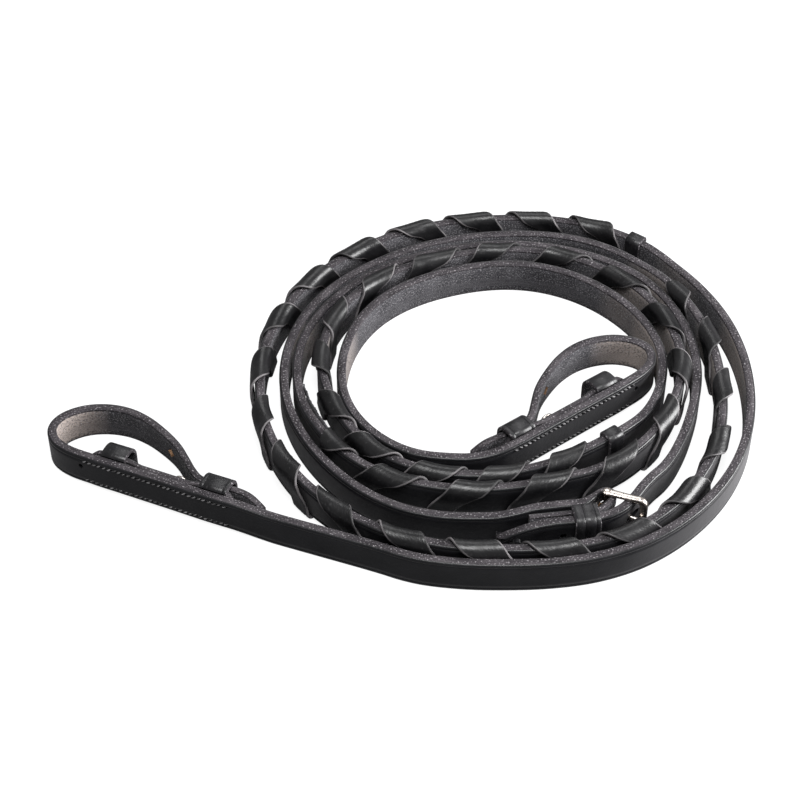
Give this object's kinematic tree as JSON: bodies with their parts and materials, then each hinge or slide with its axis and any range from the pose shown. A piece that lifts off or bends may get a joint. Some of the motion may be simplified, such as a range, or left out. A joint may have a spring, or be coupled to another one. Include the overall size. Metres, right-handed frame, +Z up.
{
  "type": "leather reins",
  "caption": "Pair of laced leather riding reins with hook stud bit ends and a centre buckle, lying coiled on edge.",
  "frame": {"origin": "on the floor, at the middle of the coiled reins' footprint", "axes": "+Z up, +X along the longest side, from the left bit end towards the coil; +Y away from the side on which the left bit end lies"},
  "size_m": [0.3138, 0.225, 0.0207],
  "materials": {
    "strap_leather": "smooth black bridle leather, semi-gloss grain, raw grey flesh side and edges",
    "lace_leather": "glossy black lace leather",
    "keeper_leather": "glossy black leather with lighter cut edges",
    "thread": "waxed black thread",
    "nickel": "polished nickel silver"
  },
  "bodies": {
    "coil": {"left_rein_strap": "strap_leather", "left_lace": "lace_leather", "left_lace_stop": "keeper_leather", "right_rein_strap": "strap_leather", "right_lace": "lace_leather", "right_lace_stop": "keeper_leather", "centre_keeper": "keeper_leather", "chape_stitch_row_top": "thread", "chape_stitch_row_bottom": "thread"},
    "left_bit_end": {"left_bit_end_strap": "strap_leather", "left_stud_lay": "strap_leather", "left_front_keeper": "keeper_leather", "left_rear_keeper": "keeper_leather", "left_hook_stud": "nickel", "left_stitch_row_top": "thread", "left_stitch_row_bottom": "thread"},
    "right_bit_end": {"right_bit_end_strap": "strap_leather", "right_stud_lay": "strap_leather", "right_front_keeper": "keeper_leather", "right_rear_keeper": "keeper_leather", "right_hook_stud": "nickel", "right_stitch_row_top": "thread", "right_stitch_row_bottom": "thread"},
    "buckle": {"buckle_frame": "nickel"},
    "tongue": {"buckle_tongue": "nickel"}
  },
  "joints": [
    {"name": "left_end_swing", "type": "hinge", "parent": "coil", "child": "left_bit_end", "pos_m": [-0.04002, -0.09042, 0.008], "axis": [0, 0, 1], "range_deg": [-12, 22]},
    {"name": "right_end_swing", "type": "hinge", "parent": "coil", "child": "right_bit_end", "pos_m": [0.0254, -0.0503, 0.008], "axis": [0, 0, 1], "range_deg": [0, 18]},
    {"name": "buckle_frame_pivot", "type": "hinge", "parent": "coil", "child": "buckle", "pos_m": [0.08542, -0.07449, 0.0104], "axis": [0, 0, -1], "range_deg": [0, 2.5]},
    {"name": "buckle_tongue_pivot", "type": "hinge", "parent": "buckle", "child": "tongue", "pos_m": [0.08542, -0.07449, 0.0104], "axis": [0, 0, -1], "range_deg": [0, 2.5]}
  ]
}
